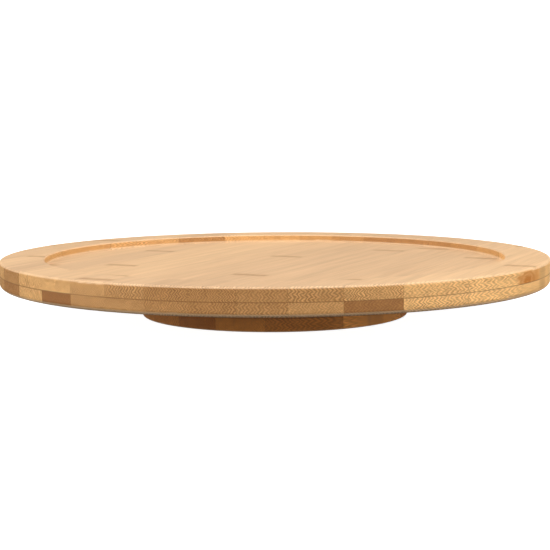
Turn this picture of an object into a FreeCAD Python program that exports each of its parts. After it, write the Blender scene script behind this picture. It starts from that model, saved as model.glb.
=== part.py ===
"""A round bamboo lazy susan: a dished platter on a ball bearing ring, over a smaller round base.

Millimetres, +Z up. The origin is the centre of the footprint, on the plane that the four pads stand on.
Both boards are laid up from strips of bamboo, two plies deep, and cut round. Each strip is a sub-part.
The inner bearing ring turns with the platter. The outer one is screwed to the base.
"""
import FreeCAD, Part
import os
import Sketcher

OUT_DIR = "parts"
TOUCH = 1e-4  # two lengths closer than this are the same

# The driving dimensions: (alias, value, what it is).
DIMENSIONS = [
    ("overall_height", 33.0, "pads to the top of the rim"),
    ("platter_diameter", 300.0, "outside of the rim"),
    ("board_gap", 4.5, "top of the base to the underside of the platter"),
    ("rim_top_round", 1.4, "radius along the top edge of the rim"),
    ("rim_bottom_round", 2.6, "radius along the bottom edge of the rim"),
    ("recess_diameter", 252.0, "dish in the top of the platter"),
    ("recess_depth", 4.4, "rim to the floor of the dish"),
    ("recess_lip_bevel", 0.6, "bevel at the mouth of the dish"),
    ("recess_foot_round", 1.6, "radius where the dish's wall meets its floor"),
    ("platter_strips", 15, "strips across the platter"),
    ("platter_trim", 9.75, "blank cut away on each side of the platter"),
    ("platter_shift", 6.05, "middle strip's centre line off the platter's centre"),
    ("platter_grain", 65.0, "degrees from +X to the platter's grain"),
    ("base_margin", 13.5, "base beyond the bearing, on the radius"),
    ("base_round", 1.0, "radius along both edges of the base"),
    ("base_strips", 8, "strips across the base"),
    ("base_trim", 18.5, "blank cut away on each side of the base"),
    ("base_shift", -0.5, "middle joint line off the base's centre"),
    ("base_grain", 47.0, "degrees from +X to the base's grain"),
    ("bearing_diameter", 120.0, "outside of the outer ring"),
    ("outer_ring_width", 10.2, "outer ring, on the radius"),
    ("inner_ring_width", 11.2, "inner ring, on the radius"),
    ("bearing_height", 8.0, "underside of the outer ring to the top of the inner one"),
    ("ring_step", 0.8, "how far each ring stops short of the other's board"),
    ("ring_chamfer", 0.6, "edges of both rings"),
    ("ring_seat_clearance", 0.3, "outer ring to the wall of its seat, on the radius"),
    ("ball_diameter", 4.0, "bearing ball"),
    ("ball_count", 36, "balls round the race"),
    ("race_clearance", 0.12, "ball to race, on the radius"),
    ("race_gap", 1.6, "between the two rings"),
    ("cage_thickness", 0.8, "wall of the ball cage"),
    ("cage_rim", 0.9, "cage beyond the balls, along the axis"),
    ("cage_clearance", 0.15, "ball to its pocket in the cage"),
    ("plug_clearance", 0.05, "filler plug to its hole"),
    ("filler_clearance", 0.4, "ball to the filler hole, on the radius"),
    ("screw_count", 4, "screws through each board"),
    ("screw_clearance", 0.05, "shank to the hole it is driven into, on the radius"),
    ("passage_clearance", 0.25, "shank to a hole it passes through, on the radius"),
    ("head_clearance", 0.3, "screw head to its counterbore, on the radius"),
    ("cross_width", 0.9, "slot of the cross recess"),
    ("cross_span", 3.8, "length of the cross recess"),
    ("cross_depth", 1.4, "depth of the cross recess"),
    ("base_screw_diameter", 4.0, "machine screw, base to outer ring"),
    ("base_screw_length", 12.0, "under the head"),
    ("base_screw_point", 0.6, "length of the lead-in at the end of the shank"),
    ("base_tip_radius", 1.4, "end of the lead-in"),
    ("base_head_diameter", 8.0, "pan head"),
    ("base_head_height", 2.6, "pan head"),
    ("base_head_round", 1.6, "radius round the top of the pan head"),
    ("base_head_sink", 0.4, "head below the underside of the base"),
    ("tapped_spare", 1.0, "tapped hole in the outer ring beyond the screw's end"),
    ("platter_screw_diameter", 3.5, "wood screw, inner ring to platter"),
    ("platter_screw_length", 11.0, "under the head"),
    ("platter_screw_point", 3.0, "length of the point"),
    ("platter_tip_radius", 0.25, "end of the point"),
    ("platter_head_diameter", 6.6, "pan head"),
    ("platter_head_height", 2.2, "pan head"),
    ("platter_head_round", 1.3, "radius round the top of the pan head"),
    ("platter_head_sink", 0.6, "head above the underside of the inner ring"),
    ("pad_count", 4, "pads under the base"),
    ("pad_diameter", 12.0, "anti-slip pad"),
    ("pad_thickness", 2.0, "anti-slip pad"),
    ("pad_proud", 0.5, "pad below the underside of the base"),
    ("pad_clearance", 0.1, "pad to its seat, on the radius"),
    ("pad_inset", 11.5, "pads' centres in from the edge of the base"),
    ("pad_round", 0.4, "radius along the foot of a pad"),
]

# Levels and radii worked out from the sheet, as expressions.
PLY_THICKNESS = "((Dims.overall_height - Dims.board_gap - Dims.pad_proud) / 4)"
PLATTER_EDGE = "(Dims.platter_diameter / 2)"
PLATTER_TOP = "Dims.overall_height"
PLATTER_BOTTOM = f"(Dims.overall_height - 2 * {PLY_THICKNESS})"
DISH_EDGE = "(Dims.recess_diameter / 2)"
DISH_FLOOR = "(Dims.overall_height - Dims.recess_depth)"
BASE_EDGE = "(Dims.bearing_diameter / 2 + Dims.base_margin)"
BASE_BOTTOM = "Dims.pad_proud"
BASE_TOP = f"({PLATTER_BOTTOM} - Dims.board_gap)"
BEARING_EDGE = "(Dims.bearing_diameter / 2)"
BEARING_BOTTOM = f"({PLATTER_BOTTOM} - Dims.bearing_height)"
OUTER_RING_TOP = f"({PLATTER_BOTTOM} - Dims.ring_step)"
OUTER_RING_BORE = f"({BEARING_EDGE} - Dims.outer_ring_width)"
INNER_RING_BOTTOM = f"({BEARING_BOTTOM} + Dims.ring_step)"
INNER_RING_EDGE = f"({OUTER_RING_BORE} - Dims.race_gap)"
INNER_RING_BORE = f"({INNER_RING_EDGE} - Dims.inner_ring_width)"
RING_SEAT_RADIUS = f"({BEARING_EDGE} + Dims.ring_seat_clearance)"
BALL_LEVEL = f"({BEARING_BOTTOM} + Dims.bearing_height / 2)"
BALL_CIRCLE = f"({OUTER_RING_BORE} - Dims.race_gap / 2)"
RACE_RADIUS = "(Dims.ball_diameter / 2 + Dims.race_clearance)"
FILLER_RADIUS = "(Dims.ball_diameter / 2 + Dims.filler_clearance)"
BASE_SCREW_CIRCLE = f"(({BEARING_EDGE} + {BALL_CIRCLE} + {RACE_RADIUS}) / 2)"
BASE_HEAD_SEAT = "(Dims.pad_proud + Dims.base_head_sink + Dims.base_head_height)"
BASE_SCREW_TIP = f"({BASE_HEAD_SEAT} + Dims.base_screw_length)"
PLATTER_SCREW_CIRCLE = f"(({INNER_RING_BORE} + {BALL_CIRCLE} - {RACE_RADIUS}) / 2)"
PLATTER_HEAD_SEAT = f"({INNER_RING_BOTTOM} + Dims.platter_head_sink + Dims.platter_head_height)"
PLATTER_SCREW_TIP = f"({PLATTER_HEAD_SEAT} + Dims.platter_screw_length)"
PAD_CIRCLE = f"({BASE_EDGE} - Dims.pad_inset)"
PAD_SEAT_DEPTH = "(Dims.pad_thickness - Dims.pad_proud)"

PAD_TURN = 45  # degrees from the screws round to the pads and the filler hole


def make_sheet(doc):
    """The driving dimensions, one row each, with an alias on the value."""
    sheet = doc.addObject("Spreadsheet::Sheet", "Dims")
    for row, (alias, value, note) in enumerate(DIMENSIONS, start=1):
        sheet.set(f"A{row}", alias)
        sheet.set(f"B{row}", str(value))
        sheet.set(f"C{row}", note)
        sheet.setAlias(f"B{row}", alias)
    doc.recompute()
    return sheet


def value_of(doc, expression):
    """The number that an expression on the sheet stands for."""
    result = doc.getObject("Dims").evalExpression(expression)
    return float(getattr(result, "Value", result))


def make_body(doc, label):
    body = doc.addObject("PartDesign::Body", label)
    body.Label = label
    return body


def origin_feature(body, role):
    return next(item for item in body.Origin.OriginFeatures if item.Role == role)


def make_sketch(body, name, plane, level="0", across="0"):
    """A sketch on one of the body's planes, moved up by level or along its own X by across."""
    sketch = body.newObject("Sketcher::SketchObject", name)
    sketch.AttachmentSupport = [(origin_feature(body, plane), "")]
    sketch.MapMode = "FlatFace"
    if level != "0":
        sketch.setExpression(".AttachmentOffset.Base.z", level)
    if across != "0":
        sketch.setExpression(".AttachmentOffset.Base.x", across)
    return sketch


def pin_point(sketch, geometry, vertex, across, up):
    """Ties a vertex to the sketch's origin by two expressions; "0" puts it on the axis."""
    for kind, expression, axis in (("DistanceX", across, -2), ("DistanceY", up, -1)):
        if expression == "0":
            sketch.addConstraint(Sketcher.Constraint("PointOnObject", geometry, vertex, axis))
            continue
        number = value_of(sketch.Document, expression)
        rule = sketch.addConstraint(Sketcher.Constraint(kind, -1, 1, geometry, vertex, number))
        sketch.setExpression(f"Constraints[{rule}]", expression)


def draw_outline(sketch, points):
    """A closed outline of straight lines through points, each a pair of expressions."""
    doc = sketch.Document
    corners = [FreeCAD.Vector(value_of(doc, x), value_of(doc, y), 0) for x, y in points]
    count = len(corners)
    for i in range(count):
        sketch.addGeometry(Part.LineSegment(corners[i], corners[(i + 1) % count]), False)
    for i in range(count):
        sketch.addConstraint(Sketcher.Constraint("Coincident", i, 2, (i + 1) % count, 1))
    for i, (x, y) in enumerate(points):
        pin_point(sketch, i, 1, x, y)


def draw_circle(sketch, radius, across="0", up="0"):
    doc = sketch.Document
    centre = FreeCAD.Vector(value_of(doc, across), value_of(doc, up), 0)
    circle = Part.Circle(centre, FreeCAD.Vector(0, 0, 1), value_of(doc, radius))
    index = sketch.addGeometry(circle, False)
    rule = sketch.addConstraint(Sketcher.Constraint("Radius", index, circle.Radius))
    sketch.setExpression(f"Constraints[{rule}]", radius)
    pin_point(sketch, index, 3, across, up)


def turn_profile(body, name, points, across="0"):
    """Revolves an outline in the XZ plane about the vertical line at across."""
    sketch = make_sketch(body, f"{name}_profile", "XZ_Plane", across=across)
    draw_outline(sketch, points)
    turned = body.newObject("PartDesign::Revolution", name)
    turned.Profile = sketch
    turned.ReferenceAxis = (sketch, ["V_Axis"])
    turned.Angle = 360
    sketch.Document.recompute()


def circle_edges(doc, shape, radius, level):
    """Names of the circular edges of that radius, about +Z, at that height."""
    wanted_radius, wanted_level = value_of(doc, radius), value_of(doc, level)
    names = []
    for number, edge in enumerate(shape.Edges, start=1):
        curve = edge.Curve
        if isinstance(curve, Part.Circle) and abs(curve.Radius - wanted_radius) < TOUCH:
            if abs(curve.Center.z - wanted_level) < TOUCH:
                names.append(f"Edge{number}")
    if not names:
        raise ValueError(f"no edge of radius {wanted_radius} at height {wanted_level}")
    return names


def dress_edges(body, name, kind, size, edges):
    """Fillets or chamfers the circular edges, each a pair of radius and height."""
    doc, last = body.Document, body.Tip
    names = []
    for radius, level in edges:
        names += circle_edges(doc, last.Shape, radius, level)
    dressed = body.newObject(f"PartDesign::{kind}", name)
    dressed.Base = (last, names)
    dressed.setExpression("Radius" if kind == "Fillet" else "Size", size)
    doc.recompute()


def repeat_round(body, name, features, count):
    """Copies features, or the whole body if there are none, evenly round the body's Z axis."""
    pattern = body.newObject("PartDesign::PolarPattern", name)
    pattern.TransformMode = "Features" if features else "Whole shape"
    pattern.Originals = features
    pattern.Axis = (origin_feature(body, "Z_Axis"), [""])
    pattern.Angle = 360
    pattern.setExpression("Occurrences", count)
    body.Tip = pattern
    body.Document.recompute()
    return pattern


def bore_ring_of_holes(body, name, radius, circle, level, depth, count, angle=0):
    """Round holes cut upwards from level, evenly spaced on a circle of that radius."""
    before = body.Tip.Shape.Volume
    sketch = make_sketch(body, f"{name}_sketch", "XY_Plane", level=level)
    if angle:
        draw_circle(sketch, radius, f"{circle} * cos({angle} deg)", f"{circle} * sin({angle} deg)")
    else:
        draw_circle(sketch, radius, circle)
    pocket = body.newObject("PartDesign::Pocket", name)
    pocket.Profile = sketch
    pocket.Reversed = True
    pocket.setExpression("Length", depth)
    body.Document.recompute()
    pattern = repeat_round(body, f"{name}_pattern", [pocket], count)
    if pattern.Shape.Volume > before - TOUCH:
        raise ValueError(f"{name} cuts nothing")


def cut_race(body):
    """The round groove that the balls run in."""
    before = body.Tip.Shape.Volume
    sketch = make_sketch(body, "race_sketch", "XZ_Plane")
    draw_circle(sketch, RACE_RADIUS, BALL_CIRCLE, BALL_LEVEL)
    groove = body.newObject("PartDesign::Groove", "race")
    groove.Profile = sketch
    groove.ReferenceAxis = (sketch, ["V_Axis"])
    groove.Angle = 360
    body.Document.recompute()
    if groove.Shape.Volume > before - TOUCH:
        raise ValueError("the race cuts nothing")


def board_outline(radius, bottom, top, hollow_radius, hollow_floor):
    """Half the section of a disc with a round hollow in its top."""
    return [
        ("0", bottom),
        (radius, bottom),
        (radius, top),
        (hollow_radius, top),
        (hollow_radius, hollow_floor),
        ("0", hollow_floor),
    ]


def make_platter_board(doc):
    """The dished disc, before it is divided into strips."""
    body = make_body(doc, "platter_board")
    outline = board_outline(PLATTER_EDGE, PLATTER_BOTTOM, PLATTER_TOP, DISH_EDGE, DISH_FLOOR)
    turn_profile(body, "disc", outline)
    dress_edges(body, "rim_top", "Fillet", "Dims.rim_top_round", [(PLATTER_EDGE, PLATTER_TOP)])
    dress_edges(body, "rim_bottom", "Fillet", "Dims.rim_bottom_round", [(PLATTER_EDGE, PLATTER_BOTTOM)])
    dress_edges(body, "dish_lip", "Chamfer", "Dims.recess_lip_bevel", [(DISH_EDGE, PLATTER_TOP)])
    dress_edges(body, "dish_foot", "Fillet", "Dims.recess_foot_round", [(DISH_EDGE, DISH_FLOOR)])
    bore_ring_of_holes(
        body,
        "screw_hole",
        "Dims.platter_screw_diameter / 2 + Dims.screw_clearance",
        PLATTER_SCREW_CIRCLE,
        PLATTER_BOTTOM,
        f"{PLATTER_SCREW_TIP} - {PLATTER_BOTTOM} + Dims.screw_clearance",
        "Dims.screw_count",
    )
    return body


def make_base_board(doc):
    """The base disc with the bearing's seat in its top, before it is divided into strips."""
    body = make_body(doc, "base_board")
    outline = board_outline(BASE_EDGE, BASE_BOTTOM, BASE_TOP, RING_SEAT_RADIUS, BEARING_BOTTOM)
    turn_profile(body, "disc", outline)
    edges = [(BASE_EDGE, BASE_TOP), (BASE_EDGE, BASE_BOTTOM)]
    dress_edges(body, "rounds", "Fillet", "Dims.base_round", edges)
    bore_ring_of_holes(
        body,
        "screw_passage",
        "Dims.base_screw_diameter / 2 + Dims.passage_clearance",
        BASE_SCREW_CIRCLE,
        BASE_BOTTOM,
        f"{BEARING_BOTTOM} - {BASE_BOTTOM}",
        "Dims.screw_count",
    )
    bore_ring_of_holes(
        body,
        "head_counterbore",
        "Dims.base_head_diameter / 2 + Dims.head_clearance",
        BASE_SCREW_CIRCLE,
        BASE_BOTTOM,
        f"{BASE_HEAD_SEAT} - {BASE_BOTTOM}",
        "Dims.screw_count",
    )
    bore_ring_of_holes(
        body,
        "pad_seat",
        "Dims.pad_diameter / 2 + Dims.pad_clearance",
        PAD_CIRCLE,
        BASE_BOTTOM,
        PAD_SEAT_DEPTH,
        "Dims.pad_count",
        angle=PAD_TURN,
    )
    return body


def lay_up_strips(doc, board, prefix, edge, bottom):
    """Divides a board into strips along its grain, two plies deep, and returns them."""
    blank = f"(2 * {edge} + 2 * Dims.{prefix}_trim)"
    width = f"({blank} / Dims.{prefix}_strips)"
    grain = f"(Dims.{prefix}_grain * 1 deg)"
    strips = []
    for ply, step in (("lower", 0), ("upper", 1)):
        for number in range(1, int(value_of(doc, f"Dims.{prefix}_strips")) + 1):
            label = f"{prefix}_{ply}_strip_{number:02d}"
            start = f"(Dims.{prefix}_shift - {blank} / 2 + {number - 1} * {width})"
            end = f"{blank} / -2"
            block = doc.addObject("Part::Box", f"{label}_block")
            block.setExpression("Length", blank)
            block.setExpression("Width", width)
            block.setExpression("Height", PLY_THICKNESS)
            block.setExpression(".Placement.Base.x", f"{end} * cos({grain}) - {start} * sin({grain})")
            block.setExpression(".Placement.Base.y", f"{end} * sin({grain}) + {start} * cos({grain})")
            block.setExpression(".Placement.Base.z", f"{bottom} + {step} * {PLY_THICKNESS}")
            block.Placement.Rotation = FreeCAD.Rotation(FreeCAD.Vector(0, 0, 1), 1)
            block.setExpression(".Placement.Rotation.Angle", grain)
            strip = doc.addObject("Part::Common", label)
            strip.Label = label
            strip.Base = board
            strip.Tool = block
            strips.append(strip)
    doc.recompute()
    return strips


def ring_outline(inner, outer, bottom, top):
    return [(inner, bottom), (outer, bottom), (outer, top), (inner, top)]


def make_outer_ring(doc):
    """The ring that is screwed to the base, and the plug that closes its ball filler hole."""
    blank = make_body(doc, "outer_ring_blank")
    outline = ring_outline(OUTER_RING_BORE, BEARING_EDGE, BEARING_BOTTOM, OUTER_RING_TOP)
    turn_profile(blank, "ring", outline)
    corners = [(BEARING_EDGE, BEARING_BOTTOM), (BEARING_EDGE, OUTER_RING_TOP)]
    dress_edges(blank, "corners", "Chamfer", "Dims.ring_chamfer", corners)
    cut_race(blank)
    bore_ring_of_holes(
        blank,
        "tapped_hole",
        "Dims.base_screw_diameter / 2 + Dims.screw_clearance",
        BASE_SCREW_CIRCLE,
        BEARING_BOTTOM,
        f"{BASE_SCREW_TIP} - {BEARING_BOTTOM} + Dims.tapped_spare",
        "Dims.screw_count",
    )
    ring = doc.addObject("Part::Cut", "bearing_outer_ring")
    ring.Base = blank
    ring.Tool = make_sideways_rod(doc, "filler_hole_rod", FILLER_RADIUS)
    plug = doc.addObject("Part::Common", "ball_filler_plug")
    plug.Base = blank
    plug.Tool = make_sideways_rod(doc, "filler_plug_rod", f"{FILLER_RADIUS} - Dims.plug_clearance")
    doc.recompute()
    return [ring, plug]


def make_sideways_rod(doc, label, radius):
    """A rod at the balls' level, from the axis outwards between two screws and past the bearing."""
    rod = doc.addObject("Part::Cylinder", label)
    rod.setExpression("Radius", radius)
    rod.setExpression("Height", "Dims.bearing_diameter")
    outwards = FreeCAD.Rotation(FreeCAD.Vector(0, 0, 1), PAD_TURN).multVec(FreeCAD.Vector(1, 0, 0))
    rod.Placement.Rotation = FreeCAD.Rotation(FreeCAD.Vector(0, 0, 1), outwards)
    rod.setExpression(".Placement.Base.z", BALL_LEVEL)
    return rod


def make_inner_ring(doc):
    """The ring that is screwed to the platter."""
    body = make_body(doc, "bearing_inner_ring")
    outline = ring_outline(INNER_RING_BORE, INNER_RING_EDGE, INNER_RING_BOTTOM, PLATTER_BOTTOM)
    turn_profile(body, "ring", outline)
    corners = [(INNER_RING_BORE, INNER_RING_BOTTOM), (INNER_RING_BORE, PLATTER_BOTTOM)]
    dress_edges(body, "corners", "Chamfer", "Dims.ring_chamfer", corners)
    cut_race(body)
    bore_ring_of_holes(
        body,
        "screw_passage",
        "Dims.platter_screw_diameter / 2 + Dims.passage_clearance",
        PLATTER_SCREW_CIRCLE,
        INNER_RING_BOTTOM,
        f"{PLATTER_BOTTOM} - {INNER_RING_BOTTOM}",
        "Dims.screw_count",
    )
    bore_ring_of_holes(
        body,
        "head_counterbore",
        "Dims.platter_head_diameter / 2 + Dims.head_clearance",
        PLATTER_SCREW_CIRCLE,
        INNER_RING_BOTTOM,
        f"{PLATTER_HEAD_SEAT} - {INNER_RING_BOTTOM}",
        "Dims.screw_count",
    )
    return body


def make_cage(doc):
    """The thin ring that keeps the balls apart."""
    body = make_body(doc, "ball_cage")
    inner, outer = (f"{BALL_CIRCLE} {sign} Dims.cage_thickness / 2" for sign in "-+")
    half_height = "(Dims.ball_diameter / 2 + Dims.cage_rim)"
    bottom, top = (f"{BALL_LEVEL} {sign} {half_height}" for sign in "-+")
    turn_profile(body, "band", ring_outline(inner, outer, bottom, top))
    sketch = make_sketch(body, "pocket_sketch", "YZ_Plane")
    draw_circle(sketch, "Dims.ball_diameter / 2 + Dims.cage_clearance", "0", BALL_LEVEL)
    pocket = body.newObject("PartDesign::Pocket", "ball_pocket")
    pocket.Profile = sketch
    pocket.Reversed = True
    pocket.setExpression("Length", BEARING_EDGE)
    doc.recompute()
    repeat_round(body, "ball_pockets", [pocket], "Dims.ball_count")
    return body


def make_balls(doc):
    """The balls, one solid each, in one group."""
    balls = []
    for number in range(int(value_of(doc, "Dims.ball_count"))):
        ball = doc.addObject("Part::Sphere", f"ball_{number:02d}")
        turn = f"({number} * 360 deg / Dims.ball_count)"
        ball.setExpression("Radius", "Dims.ball_diameter / 2")
        ball.setExpression(".Placement.Base.x", f"{BALL_CIRCLE} * cos({turn})")
        ball.setExpression(".Placement.Base.y", f"{BALL_CIRCLE} * sin({turn})")
        ball.setExpression(".Placement.Base.z", BALL_LEVEL)
        balls.append(ball)
    group = doc.addObject("Part::Compound", "bearing_balls")
    group.Links = balls
    doc.recompute()
    return group


def make_screws(doc, label, name, circle, seat, tip):
    """Pan head screws, heads down, round a circle; name begins the sheet's values for them."""
    body = make_body(doc, label)
    body.AllowCompound = True
    shank, head = f"Dims.{name}_screw_diameter / 2", f"Dims.{name}_head_diameter / 2"
    bottom = f"({seat} - Dims.{name}_head_height)"
    outline = [
        ("0", bottom),
        (head, bottom),
        (head, seat),
        (shank, seat),
        (shank, f"{tip} - Dims.{name}_screw_point"),
        (f"Dims.{name}_tip_radius", tip),
        ("0", tip),
    ]
    turn_profile(body, "turned", outline, across=circle)
    dress_edges(body, "head_round", "Fillet", f"Dims.{name}_head_round", [(head, bottom)])
    for arm, along, over in (("cross_x", "Dims.cross_span / 2", "Dims.cross_width / 2"),
                             ("cross_y", "Dims.cross_width / 2", "Dims.cross_span / 2")):
        before = body.Tip.Shape.Volume
        sketch = make_sketch(body, f"{arm}_sketch", "XY_Plane", level=bottom)
        left, right = f"{circle} - {along}", f"{circle} + {along}"
        draw_outline(sketch, [(left, f"-{over}"), (right, f"-{over}"), (right, over), (left, over)])
        slot = body.newObject("PartDesign::Pocket", arm)
        slot.Profile = sketch
        slot.Reversed = True
        slot.setExpression("Length", "Dims.cross_depth")
        doc.recompute()
        if slot.Shape.Volume > before - TOUCH:
            raise ValueError(f"{label}: {arm} cuts nothing")
    repeat_round(body, "screws", [], "Dims.screw_count")
    return body


def make_pads(doc):
    """The anti-slip pads, seated in the underside of the base."""
    body = make_body(doc, "anti_slip_pads")
    body.AllowCompound = True
    sketch = make_sketch(body, "pad_sketch", "XY_Plane")
    across, up = (f"{PAD_CIRCLE} * {turn}({PAD_TURN} deg)" for turn in ("cos", "sin"))
    draw_circle(sketch, "Dims.pad_diameter / 2", across, up)
    pad = body.newObject("PartDesign::Pad", "pad")
    pad.Profile = sketch
    pad.setExpression("Length", "Dims.pad_thickness")
    doc.recompute()
    dress_edges(body, "foot_round", "Fillet", "Dims.pad_round", [("Dims.pad_diameter / 2", "0")])
    repeat_round(body, "pads", [], "Dims.pad_count")
    return body


def check_document(doc):
    """Stops on any feature that failed to build."""
    for item in doc.Objects:
        if "Invalid" in item.State or "Error" in item.State:
            raise RuntimeError(f"{item.Label} failed: {item.State}")


def check_shape(part):
    """Stops unless a sub-part's shape is whole and holds a solid."""
    shape = part.Shape
    if shape.isNull() or not shape.isValid() or not shape.Solids:
        raise RuntimeError(f"{part.Label} has no valid solid")
    print(f"{part.Label}: {len(shape.Solids)} solid(s), {shape.Volume:.1f} mm3")


def main():
    doc = FreeCAD.newDocument("lazy_susan")
    make_sheet(doc)
    parts = lay_up_strips(doc, make_platter_board(doc), "platter", PLATTER_EDGE, PLATTER_BOTTOM)
    parts += lay_up_strips(doc, make_base_board(doc), "base", BASE_EDGE, BASE_BOTTOM)
    parts += make_outer_ring(doc)
    parts += [make_inner_ring(doc), make_cage(doc), make_balls(doc)]
    parts += [
        make_screws(doc, "base_screws", "base", BASE_SCREW_CIRCLE, BASE_HEAD_SEAT, BASE_SCREW_TIP),
        make_screws(
            doc, "platter_screws", "platter", PLATTER_SCREW_CIRCLE, PLATTER_HEAD_SEAT, PLATTER_SCREW_TIP
        ),
        make_pads(doc),
    ]
    doc.recompute()
    check_document(doc)
    for part in parts:
        check_shape(part)
    os.makedirs(OUT_DIR, exist_ok=True)
    for part in parts:
        part.Shape.exportStep(os.path.join(OUT_DIR, f"{part.Label}.step"))


main()
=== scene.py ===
import math
import random

import bpy
from mathutils import Matrix, Vector


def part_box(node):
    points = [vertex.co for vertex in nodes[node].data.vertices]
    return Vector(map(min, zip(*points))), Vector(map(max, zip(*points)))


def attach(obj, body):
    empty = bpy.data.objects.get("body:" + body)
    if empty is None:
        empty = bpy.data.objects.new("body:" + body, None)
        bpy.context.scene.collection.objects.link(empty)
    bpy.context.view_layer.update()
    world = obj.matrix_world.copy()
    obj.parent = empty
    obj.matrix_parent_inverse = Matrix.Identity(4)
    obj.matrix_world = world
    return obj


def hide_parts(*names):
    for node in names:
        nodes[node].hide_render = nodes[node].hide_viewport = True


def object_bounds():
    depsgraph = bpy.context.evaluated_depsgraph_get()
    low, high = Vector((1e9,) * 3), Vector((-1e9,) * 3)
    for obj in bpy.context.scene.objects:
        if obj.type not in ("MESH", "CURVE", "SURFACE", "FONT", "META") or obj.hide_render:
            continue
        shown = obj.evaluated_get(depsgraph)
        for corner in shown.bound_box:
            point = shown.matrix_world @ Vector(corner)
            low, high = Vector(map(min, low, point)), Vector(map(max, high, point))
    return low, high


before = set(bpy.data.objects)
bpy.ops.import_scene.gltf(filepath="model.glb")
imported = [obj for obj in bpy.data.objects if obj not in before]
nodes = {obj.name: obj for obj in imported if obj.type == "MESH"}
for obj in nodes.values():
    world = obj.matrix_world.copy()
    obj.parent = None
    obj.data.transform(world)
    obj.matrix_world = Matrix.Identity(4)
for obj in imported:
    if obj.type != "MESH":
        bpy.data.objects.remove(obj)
cadLow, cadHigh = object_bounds()
print("frame loaded:", len(nodes), "nodes")


class Wire:
    # a socket in a material; sums written on it add Math nodes

    def __init__(self, tree, made=None, socket=None):
        self.tree = tree
        self.made = made
        self.socket = socket

    def node(self, kind, settings, values, output=0):
        made = self.tree.nodes.new(kind)
        for name, setting in settings.items():
            setattr(made, name, setting)
        for key, value in values.items():
            if isinstance(value, Wire):
                self.tree.links.new(value.socket, made.inputs[key])
            else:
                made.inputs[key].default_value = value
        return Wire(self.tree, made, made.outputs[output] if made.outputs else None)

    def other(self, output):
        return Wire(self.tree, self.made, self.made.outputs[output])

    def sum(self, operation, first, second=0.0):
        return self.node("ShaderNodeMath", {"operation": operation}, {0: first, 1: second})

    def __add__(self, value):
        return self.sum("ADD", self, value)

    def __radd__(self, value):
        return self.sum("ADD", value, self)

    def __sub__(self, value):
        return self.sum("SUBTRACT", self, value)

    def __rsub__(self, value):
        return self.sum("SUBTRACT", value, self)

    def __mul__(self, value):
        return self.sum("MULTIPLY", self, value)

    def __rmul__(self, value):
        return self.sum("MULTIPLY", value, self)

    def __pow__(self, value):
        return self.sum("POWER", self, value)

    def __abs__(self):
        return self.sum("ABSOLUTE", self)

    def step(self, start, end):  # 0 at start, 1 at end, eased between
        return self.node(
            "ShaderNodeMapRange",
            {"interpolation_type": "SMOOTHSTEP"},
            {"Value": self, "From Min": start, "From Max": end},
        )

    def mix(self, factor, first, second, blend="MIX"):
        settings = {"data_type": "RGBA", "blend_type": blend}
        return self.node("ShaderNodeMix", settings, {0: factor, 6: first, 7: second}, 2)


def newMaterial(name):
    material = bpy.data.materials.new(name)
    material.use_nodes = True
    material.node_tree.nodes.clear()
    return material, Wire(material.node_tree)


def finishMaterial(wire, values):
    shader = wire.node("ShaderNodeBsdfPrincipled", {}, values)
    wire.node("ShaderNodeOutputMaterial", {}, {"Surface": shader})


def paint(nodeName, material):
    mesh = nodes[nodeName].data
    mesh.materials.clear()
    mesh.materials.append(material)


# Bamboo. Lengths are metres and colours are linear.
bamboo = {
    "platterGrain": 65,  # degrees from +X
    "baseGrain": 47,
    "platterTones": ((0.27, 0.105, 0.026), (0.84, 0.485, 0.185)),  # dark, light
    # the base's darker, redder tones are partly its own colour and partly painted shade under the
    # platter
    "baseTones": ((0.26, 0.075, 0.010), (0.84, 0.340, 0.070)),
    "face": (0.735, 0.500, 0.300),  # a sanded long grain face; the sides' darker tone is partly painted shade
    "faceShare": 0.70,  # how far a face keeps that colour and not its strip's own tone
    "fibre": (0.26, 0.11, 0.035),
    "fibreOnEnd": 0.30,
    "fibreOnFace": 0.10,
    "fibrePitch": 0.00085,
    "fibreRun": 0.06,
    "fibreWander": 0.0024,
    "fibreSize": 0.30,
    "fibreCrowding": 0.25,  # how much larger the fibres are on the skin side
    "fibreEdge": (-0.14, 0.16),
    "hatch": 0.46,  # how strongly the slanting rows of fibre bundles show on cut ends
    "hatchPitch": 0.0014,
    "hatchRow": 0.0014,
    "hatchShares": (0.40, 1.0),  # least and most of it that a strip has
    "hatchPitches": (0.80, 1.15),
    "patchGain": 1.9,
    "patchLoss": 0.15,
    "broadStreaks": 0.418,
    "fineStreaks": 0.304,
    "driftCell": (0.05, 0.0042),  # a pattern's length along the grain and across it
    "patchCell": (0.03, 0.005),
    "broadCell": (0.09, 0.004),
    "fineCell": (0.03, 0.00045),
    "wobbleCell": (0.02, 0.006),
    "wobble": 0.006,
    "endCutFrom": 0.06,  # how far a face turns to the grain before its fibres show cut
    "endCutFull": 0.42,
    "flatFrom": 0.25,  # how far a face turns up or down before it takes the face colour
    "flatFull": 0.9,
    "glue": (0.16, 0.065, 0.02),
    "glueWidth": 0.00022,
    "jointShare": 0.28,
    "seamShare": 0.55,
    "mark": (0.30, 0.135, 0.045),
    "markWidth": 0.0022,
    "markHalo": 0.0085,
    "lineEdges": (1.8, 0.4),  # where a line has faded and where it is full, in its widths
    "lineShare": 0.30,
    "smudgeReach": 3.2,
    "smudgeShare": 0.22,
    "rimFrom": 0.8,
    "warmShare": 0.75,
    "warm": (0.62, 0.25, 0.05),
    "roughness": 0.50,
    "fibreRoughness": 0.15,
    "streakRoughness": 0.12,
    "specular": 0.22,
    "coat": 0.04,
    "coatRoughness": 0.25,
    # lightens the rounded edges: rubbed wear and a painted highlight
    "edgeWearAndHighlight": 0.55,
    "bump": 0.00005,
    "bumpStrength": 0.8,
    "hatchHeight": 0.5,
    "fibreDepth": 0.6,
    "streakHeight": 0.5,
    "lineDepth": 0.4,
    "jointDepth": 0.5,
}

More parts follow.
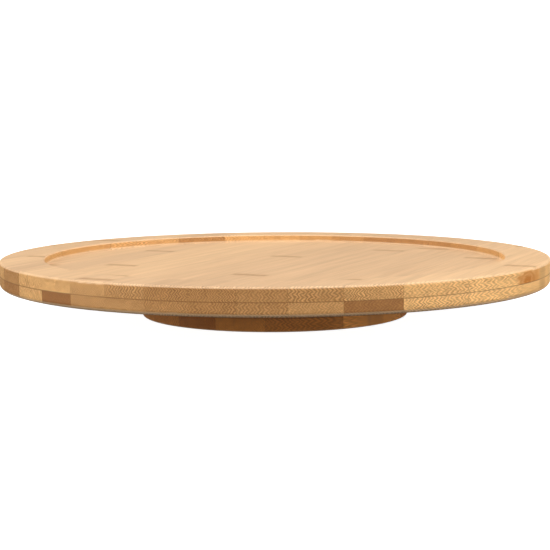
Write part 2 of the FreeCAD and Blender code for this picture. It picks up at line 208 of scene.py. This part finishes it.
# Each strip's tone, 0 dark to 1 light, and where along it its node is, in millimetres.
platterUpper = {
    "tone": [0.92, 0.80, 0.50, 0.36, 0.30, 0.26, 0.26, 0.38, 0.50, 0.68, 0.66, 0.30, 0.6, 0.5, 0.7],
    "mark": [-11, 92, 60, -96, 104, 84, -63, 29, -140, -92, -47, 31, -60, 40, 0],
}
platterLower = {
    "tone": [0.86, 0.80, 0.10, 0.42, 0.30, 0.24, 0.30, 0.38, 0.36, 0.04, 0.68, 0.16, 0.4, 0.6, 0.5],
    "mark": [40, -70, 20, 75, -30, 110, -90, 15, 95, -20, 60, -45, 10, -35, 0],
}
baseUpper = {
    "tone": [0.6, 0.4, 0.5, 0.3, 0.4, 0.5, 0.4, 0.5],
    "mark": [5, 30, -40, 20, -55, 45, -10, 0],
}
baseLower = {
    "tone": [0.75, 0.35, 0.45, 0.15, 0.4, 0.5, 0.4, 0.5],
    "mark": [-5, -30, 50, -15, 35, -48, 12, 0],
}

knot = {
    "strip": "platter_upper_strip_01",
    "along": -0.023,  # along the grain from the middle
    "height": 0.0268,
    "halfLength": 0.015,
    "halfHeight": 0.0070,
    "rings": 15.0,
    "raggedness": 260,
    "ringShare": 0.18,
    "share": 0.78,
    "fullFrom": 0.25,
    "colour": (0.46, 0.15, 0.016, 1),
}


def blendTone(tones, tone):
    dark, light = tones
    return tuple(d + tone * (l - d) for d, l in zip(dark, light)) + (1,)


def opaque(name):
    return bamboo[name] + (1,)


def bambooStrip(nodeName, grain, tones, tone, mark, seam):
    material, wire = newMaterial(nodeName + "_bamboo")
    chance = random.Random(nodeName)
    along = Vector((math.cos(math.radians(grain)), math.sin(math.radians(grain)), 0))
    across = Vector((-along.y, along.x, 0))
    reach = [across.dot(vertex.co) for vertex in nodes[nodeName].data.vertices]
    low, high = min(reach), max(reach)
    bottom, top = (corner.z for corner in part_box(nodeName))
    outerUp = chance.random() < 0.5  # which way the culm's skin faces, where fibres crowd

    place = wire.node("ShaderNodeTexCoord", {}, {}, "Object")
    turned = {"Vector": place, "Rotation": (0, 0, -math.radians(grain))}
    laid = wire.node("ShaderNodeMapping", {}, turned)
    u = laid.node("ShaderNodeSeparateXYZ", {}, {"Vector": laid})
    v, w = u.other("Y"), u.other("Z")
    shift = tuple(chance.uniform(-9, 9) for axis in range(3))  # no two strips match
    hatchShare = bamboo["hatch"] * chance.uniform(*bamboo["hatchShares"])
    hatchPitch = bamboo["hatchPitch"] * chance.uniform(*bamboo["hatchPitches"])

    def stretched(source, run, pitch):  # the strip's own coordinates, drawn out along the grain
        return wire.node(
            "ShaderNodeMapping",
            {},
            {"Vector": source, "Scale": (1 / run, 1 / pitch, 1 / pitch), "Location": shift},
        )

    def cloud(cell, detail=2.0):
        values = {"Vector": stretched(laid, *cell), "Scale": 1.0, "Detail": detail}
        return wire.node("ShaderNodeTexNoise", {}, values)

    # fibres are columns along the grain: streaks on a face, dots where the end is cut
    wander = (0, bamboo["fibreWander"], bamboo["fibreWander"])
    drifting = {0: cloud(bamboo["driftCell"]).other("Color"), 1: wander, 2: laid}
    drift = wire.node("ShaderNodeVectorMath", {"operation": "MULTIPLY_ADD"}, drifting)
    columns = stretched(drift, bamboo["fibreRun"], bamboo["fibrePitch"])
    cells = wire.node("ShaderNodeTexVoronoi", {}, {"Vector": columns, "Scale": 1.0})
    skin = w.step(bottom, top) if outerUp else w.step(top, bottom)
    size = skin * bamboo["fibreCrowding"] + bamboo["fibreSize"]
    fibre = (size - cells).step(*bamboo["fibreEdge"])

    # bundles of fibres lie in slanting rows, a herringbone where the end is cut
    drifted = drift.node("ShaderNodeSeparateXYZ", {}, {"Vector": drift})
    driftV, driftW = drifted.other("Y"), drifted.other("Z")
    turn = 2 * math.pi / hatchPitch
    zigzag = driftW.sum("PINGPONG", driftW, bamboo["hatchRow"])
    patchy = cloud(bamboo["patchCell"]) * bamboo["patchGain"] - bamboo["patchLoss"]
    hatch = driftV.sum("SINE", (driftV + zigzag) * turn) * patchy

    # how much of the surface is cut across the fibres, and how far it faces up or down
    normal = place.other("Normal")  # the piece's own normal, which turns with it
    dot = {"operation": "DOT_PRODUCT"}
    facing = wire.node("ShaderNodeVectorMath", dot, {0: normal, 1: along}, "Value")
    upright = wire.node("ShaderNodeVectorMath", dot, {0: normal, 1: (0, 0, 1)}, "Value")
    endCut = abs(facing).step(bamboo["endCutFrom"], bamboo["endCutFull"])
    flat = abs(upright).step(bamboo["flatFrom"], bamboo["flatFull"])

    # upright sides keep the strip's darker tone and flat faces take the paler face colour: partly the
    # sanded face's own look, partly painted shade on the sides
    sideToneAndShade = blendTone(tones, tone)
    share = bamboo["faceShare"]
    face = tuple(f * share + s * (1 - share) for f, s in zip(bamboo["face"], sideToneAndShade)) + (1,)
    colour = wire.mix(flat, sideToneAndShade, face)
    broad = cloud(bamboo["broadCell"], 3.0)
    fine = cloud(bamboo["fineCell"])
    streak = (broad - 0.5) * bamboo["broadStreaks"] + (fine - 0.5) * bamboo["fineStreaks"] + 1.0
    streak = streak + hatch * endCut * hatchShare
    grey = wire.node("ShaderNodeCombineXYZ", {}, {"X": streak, "Y": streak, "Z": streak})
    colour = wire.mix(1.0, colour, grey, "MULTIPLY")
    moreOnEnd = bamboo["fibreOnEnd"] - bamboo["fibreOnFace"]
    fibreShare = fibre * (endCut * moreOnEnd + bamboo["fibreOnFace"])
    colour = wire.mix(fibreShare, colour, opaque("fibre"))

    # the node: a dark line across the strip, with a warmer band where the side is cut along it
    wobble = (cloud(bamboo["wobbleCell"], 3.0) - 0.5) * bamboo["wobble"]
    fromMark = abs(u - mark / 1000 + wobble)
    band = fromMark.step(bamboo["markHalo"], 0.0) * (1 - flat) * (1 - endCut)
    colour = wire.mix(band * bamboo["warmShare"], colour, opaque("warm"))
    faded, full = bamboo["lineEdges"]
    line = fromMark.step(bamboo["markWidth"] * faded, bamboo["markWidth"] * full)
    half = (high - low) / 2
    rim = abs(v - (low + high) / 2).step(half, half * bamboo["rimFrom"])
    smudge = fromMark.step(bamboo["markWidth"] * bamboo["smudgeReach"], 0.0)
    marked = rim * (1 - endCut) * (line * bamboo["lineShare"] + smudge * bamboo["smudgeShare"])
    colour = wire.mix(marked, colour, opaque("mark"))
    if nodeName == knot["strip"]:  # rings round a knot, on the strip's outer side
        reachAlong = (u - knot["along"]) * (1 / knot["halfLength"])
        reachUp = (w - knot["height"]) * (1 / knot["halfHeight"])
        ring = (reachAlong * reachAlong + reachUp * reachUp) ** 0.5 + wobble * knot["raggedness"]
        swirl = ring.sum("SINE", ring * knot["rings"]) * knot["ringShare"] + knot["share"]
        colour = wire.mix(ring.step(1.0, knot["fullFrom"]) * swirl * (1 - flat), colour, knot["colour"])

    # the rounded edges, half way between flat and upright, are painted lighter: partly rubbed wear,
    # partly a painted highlight along the edge
    wornAndHighlit = flat * (1 - flat) * 4
    colour = wire.mix(wornAndHighlit * bamboo["edgeWearAndHighlight"], colour, opaque("face"))

    # glue lines to the neighbours and to the other ply
    gap = bamboo["glueWidth"]
    joint = v.sum("MAXIMUM", (v - low).step(gap, 0.0), (high - v).step(gap, 0.0))
    seamLine = abs(w - seam).step(gap * faded, gap * full)
    glued = joint.sum("MAXIMUM", joint * bamboo["jointShare"], seamLine * bamboo["seamShare"])
    colour = wire.mix(glued, colour, opaque("glue"))

    rough = bamboo["roughness"] + fibre * endCut * bamboo["fibreRoughness"]
    rough = rough + (fine - 0.5) * bamboo["streakRoughness"]
    height = hatch * endCut * bamboo["hatchHeight"] + fibre * endCut * -bamboo["fibreDepth"]
    height = height + fine * bamboo["streakHeight"] + line * -bamboo["lineDepth"]
    height = height - joint * bamboo["jointDepth"] - seamLine
    relief = {"Height": height, "Distance": bamboo["bump"], "Strength": bamboo["bumpStrength"]}
    bump = wire.node("ShaderNodeBump", {}, relief)
    finishMaterial(
        wire,
        {
            "Base Color": colour,
            "Roughness": rough,
            "Normal": bump,
            "Specular IOR Level": bamboo["specular"],
            "Coat Weight": bamboo["coat"],
            "Coat Roughness": bamboo["coatRoughness"],
        },
    )
    paint(nodeName, material)


def bambooBoard(prefix, looks):
    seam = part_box(prefix + "_lower_strip_02")[1].z
    grain, tones = bamboo[prefix + "Grain"], bamboo[prefix + "Tones"]
    for ply, look in looks.items():
        for number, (tone, mark) in enumerate(zip(look["tone"], look["mark"]), start=1):
            bambooStrip(f"{prefix}_{ply}_strip_{number:02d}", grain, tones, tone, mark, seam)


bambooBoard("platter", {"upper": platterUpper, "lower": platterLower})
bambooBoard("base", {"upper": baseUpper, "lower": baseLower})
print("bamboo strips done")

# Metal, plastic and rubber
metal = {
    "aluminium": (0.73, 0.74, 0.76, 1),
    "zinc": (0.62, 0.63, 0.66, 1),
    "chrome": (0.80, 0.81, 0.83, 1),
    "turning": 0.00035,  # pitch of the lathe's lines
    "turningBump": 0.00002,
    "turningRoughness": 0.05,
    "smudges": 90.0,
    "smudgeTint": 0.35,
    "smudgeBump": 0.3,
    "smudgeRoughness": 0.16,
    "shade": 0.8,  # how dark a smudge goes
    "ringFinish": (0.34, 1.0),  # roughness, strength of the lathe's lines
    "plugFinish": (0.28, 0.3),
    "ballFinish": (0.12, 0.0),
    "screwFinish": (0.32, 0.4),
}

moulded = {
    "nylon": (0.72, 0.70, 0.62, 1),
    "nylonRoughness": 0.45,
    "nylonGrain": 0.0008,
    "nylonBump": 0.00002,
    "rubber": (0.030, 0.030, 0.032, 1),
    "rubberRoughness": 0.75,
    "rubberGrain": 0.0006,
    "rubberBump": 0.00006,
    "dust": 60.0,
    "dustTint": 0.4,
    "dustRoughness": 0.2,
    "grainTint": 0.5,
    "shade": 0.8,  # how dark the mottling goes
}


def shaded(colour, shade):
    return tuple(channel * shade for channel in colour[:3]) + (1,)


def metalMaterial(name, colour, roughness, lines):
    material, wire = newMaterial(name)
    place = wire.node("ShaderNodeTexCoord", {}, {}, "Object")
    x = place.node("ShaderNodeSeparateXYZ", {}, {"Vector": place})
    y, z = x.other("Y"), x.other("Z")
    radius = (x * x + y * y) ** 0.5
    wave = radius.sum("SINE", (radius + z) * (2 * math.pi / metal["turning"]))
    clouds = {"Vector": place, "Scale": metal["smudges"], "Detail": 4.0}
    smudge = wire.node("ShaderNodeTexNoise", {}, clouds)
    tint = wire.mix(smudge * metal["smudgeTint"], colour, shaded(colour, metal["shade"]))
    smudged = metal["smudgeRoughness"]
    rough = smudge * smudged + (roughness - smudged / 2) + wave * (metal["turningRoughness"] * lines)
    height = wave * lines + smudge * metal["smudgeBump"]
    relief = {"Height": height, "Distance": metal["turningBump"]}
    bump = wire.node("ShaderNodeBump", {}, relief)
    finishMaterial(wire, {"Base Color": tint, "Metallic": 1.0, "Roughness": rough, "Normal": bump})
    return material


def plasticMaterial(name, colour, roughness, grainSize, depth):
    material, wire = newMaterial(name)
    place = wire.node("ShaderNodeTexCoord", {}, {}, "Object")
    grain = {"Vector": place, "Scale": 1 / grainSize, "Detail": 3.0}
    speck = wire.node("ShaderNodeTexNoise", {}, grain)
    clouds = {"Vector": place, "Scale": moulded["dust"], "Detail": 5.0}
    dust = wire.node("ShaderNodeTexNoise", {}, clouds)
    cleanness = speck * moulded["grainTint"] + dust * moulded["dustTint"]
    tint = wire.mix(cleanness, shaded(colour, moulded["shade"]), colour)
    dusted = moulded["dustRoughness"]
    rough = dust * dusted + (roughness - dusted / 2)
    bump = wire.node("ShaderNodeBump", {}, {"Height": speck, "Distance": depth})
    finishMaterial(wire, {"Base Color": tint, "Roughness": rough, "Normal": bump})
    return material


def mouldedMaterial(name, kind):
    sizes = (moulded[kind + "Roughness"], moulded[kind + "Grain"], moulded[kind + "Bump"])
    return plasticMaterial(name, moulded[kind], *sizes)


ringMetal = metalMaterial("ringAluminium", metal["aluminium"], *metal["ringFinish"])
plugMetal = metalMaterial("plugAluminium", metal["aluminium"], *metal["plugFinish"])
ballMetal = metalMaterial("ballChrome", metal["chrome"], *metal["ballFinish"])
screwMetal = metalMaterial("screwZinc", metal["zinc"], *metal["screwFinish"])
padRubber = mouldedMaterial("padRubber", "rubber")
paint("bearing_outer_ring", ringMetal)
paint("bearing_inner_ring", ringMetal)
paint("ball_filler_plug", plugMetal)
paint("bearing_balls", ballMetal)
paint("base_screws", screwMetal)
paint("platter_screws", screwMetal)
paint("ball_cage", mouldedMaterial("cageNylon", "nylon"))
paint("anti_slip_pads", padRubber)
print("metal, plastic and rubber done")

# Anti-slip pads, each with ring ribs under it
pad = {
    "radius": 0.006,
    "groove": 0.00045,
    "ringWidths": (0.0009, 0.0008, 0.0009, 0.0008),
    "edge": 0.00012,
    "edgeSegments": 2,
    "sides": 64,
    "smoothAngle": 35,
    "downward": -0.9,  # a face whose normal has a lower Z than this faces down
    "places": ((1, 1), (-1, 1), (-1, -1), (1, -1)),  # signs of X and Y
}


def selectMiddleUnderside(mesh):  # the face nearest the middle, of those that face down
    below = [face for face in mesh.polygons if face.normal.z < pad["downward"]]
    chosen = min(below, key=lambda face: face.center.xy.length)
    for face in mesh.polygons:
        face.select = face == chosen


def ribbedPads(nodeName):
    low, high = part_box(nodeName)
    thickness = high.z - low.z
    bpy.ops.object.select_all(action="DESELECT")
    middle = (0, 0, low.z + thickness / 2)
    bpy.ops.mesh.primitive_cylinder_add(
        vertices=pad["sides"], radius=pad["radius"], depth=thickness, location=middle
    )
    first = bpy.context.object
    for step, width in enumerate(pad["ringWidths"]):
        selectMiddleUnderside(first.data)
        bpy.ops.object.mode_set(mode="EDIT")
        bpy.ops.mesh.select_mode(type="FACE")
        bpy.ops.mesh.inset(thickness=width, depth=0)
        move = pad["groove"] if step % 2 == 0 else -pad["groove"]
        bpy.ops.mesh.extrude_region_move(TRANSFORM_OT_translate={"value": (0, 0, move)})
        bpy.ops.object.mode_set(mode="OBJECT")
    bevel = first.modifiers.new("softEdges", "BEVEL")
    bevel.width = pad["edge"]
    bevel.segments = pad["edgeSegments"]
    bevel.limit_method = "ANGLE"
    bpy.ops.object.modifier_apply(modifier="softEdges")
    bpy.ops.object.shade_smooth_by_angle(angle=math.radians(pad["smoothAngle"]))
    circle = high.x - pad["radius"]
    copies = [first]
    for place in pad["places"][1:]:
        copy = first.copy()
        copy.data = first.data.copy()
        bpy.context.scene.collection.objects.link(copy)
        copies.append(copy)
    for copy, (signX, signY) in zip(copies, pad["places"]):
        copy.location.x, copy.location.y = signX * circle, signY * circle
        copy.select_set(True)
    bpy.context.view_layer.objects.active = first
    bpy.ops.object.join()
    bpy.ops.object.transform_apply(location=True, rotation=True, scale=True)
    first.name = "ribbed_pads"
    first.data.materials.clear()
    first.data.materials.append(padRubber)
    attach(first, "base")
    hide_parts(nodeName)


ribbedPads("anti_slip_pads")
print("ribbed pads done")

# Floor, back wall, lights and camera
studio = {
    "floorHalf": 6.0,
    "wallAway": 3.0,
    "wallHeight": 4.0,
    "floorGlow": 0.95,
    "wallGlow": 1.05,
    "white": 0.5,
    "dullness": 0.9,
    "floorDrop": 0.0002,
    "world": 0.14,
    "lights": {  # power, size, place, aim
        "topLight": (13.5, (1.6, 1.2), (0, 0.35, 1.3), (0, 0, 0)),
        "leftLight": (13, (1.1, 0.9), (-1.2, -0.30, 0.46), (0, 0, 0.02)),
        "frontLight": (9.5, (1.4, 0.5), (0, -1.1, 0.85), (0, 0, 0.02)),
        # the platter shades the base from the front light, so a low one reaches it
        "baseLight": (2.6, (1.6, 0.2), (0, -1.3, 0.13), (0, 0, 0.01)),
        "rightLight": (13, (1.1, 0.9), (1.2, -0.30, 0.46), (0, 0, 0.02)),
    },
}


def glowMaterial(name, glow):
    material, wire = newMaterial(name)
    values = {
        "Base Color": (studio["white"], studio["white"], studio["white"], 1),
        "Roughness": studio["dullness"],
        "Emission Color": (1, 1, 1, 1),
        "Emission Strength": glow,
    }
    finishMaterial(wire, values)
    return material


def stagePlane(name, size, location, rotation, material):
    bpy.ops.mesh.primitive_plane_add(size=size, location=location, rotation=rotation)
    plane = bpy.context.object
    plane.name = name
    plane.data.materials.append(material)
    plane.visible_diffuse = False  # it lights nothing, so the base stays in shade
    plane.visible_glossy = False


def softbox(name, power, size, location, aim):
    light = bpy.data.lights.new(name, "AREA")
    light.energy = power
    light.shape = "RECTANGLE"
    light.size, light.size_y = size
    lamp = bpy.data.objects.new(name, light)
    bpy.context.scene.collection.objects.link(lamp)
    lamp.location = location
    lamp.rotation_euler = (Vector(aim) - Vector(location)).to_track_quat("-Z", "Y").to_euler()


floorPlace = (0, 0, cadLow.z - studio["floorDrop"])
floorWhite = glowMaterial("floorWhite", studio["floorGlow"])
stagePlane("floor", 2 * studio["floorHalf"], floorPlace, (0, 0, 0), floorWhite)
wallPlace = (0, studio["wallAway"], 0)
wallWhite = glowMaterial("wallWhite", studio["wallGlow"])
stagePlane("backWall", 2 * studio["wallHeight"], wallPlace, (math.radians(90), 0, 0), wallWhite)
for lightName, setting in studio["lights"].items():
    softbox(lightName, *setting)

world = bpy.data.worlds.new("studioWorld")
bpy.context.scene.world = world
world.use_nodes = True
background = world.node_tree.nodes["Background"]
background.inputs["Color"].default_value = (1, 1, 1, 1)
background.inputs["Strength"].default_value = studio["world"]
bpy.context.scene.view_settings.view_transform = "Standard"

lens = {
    "distance": 0.730,
    "elevation": 6.905,  # degrees
    "focal": 85.82,  # millimetres
    "roll": 0.372,
    "sensor": 36,
    "shift": (0.0002, 0.0152),
}
aim = Vector((0, 0, cadHigh.z / 2))
rise = math.radians(lens["elevation"])
back = Vector((0, -math.cos(rise), math.sin(rise)))
camera = bpy.data.objects.new("camera", bpy.data.cameras.new("camera"))
bpy.context.scene.collection.objects.link(camera)
camera.location = aim + back * lens["distance"]
level = (-back).to_track_quat("-Z", "Y").to_matrix()
roll = Matrix.Rotation(math.radians(-lens["roll"]), 3, "Z")
camera.rotation_euler = (level @ roll).to_euler()
camera.data.lens = lens["focal"]
camera.data.sensor_width = lens["sensor"]
camera.data.shift_x, camera.data.shift_y = lens["shift"]
bpy.context.scene.camera = camera
print("studio and camera done")
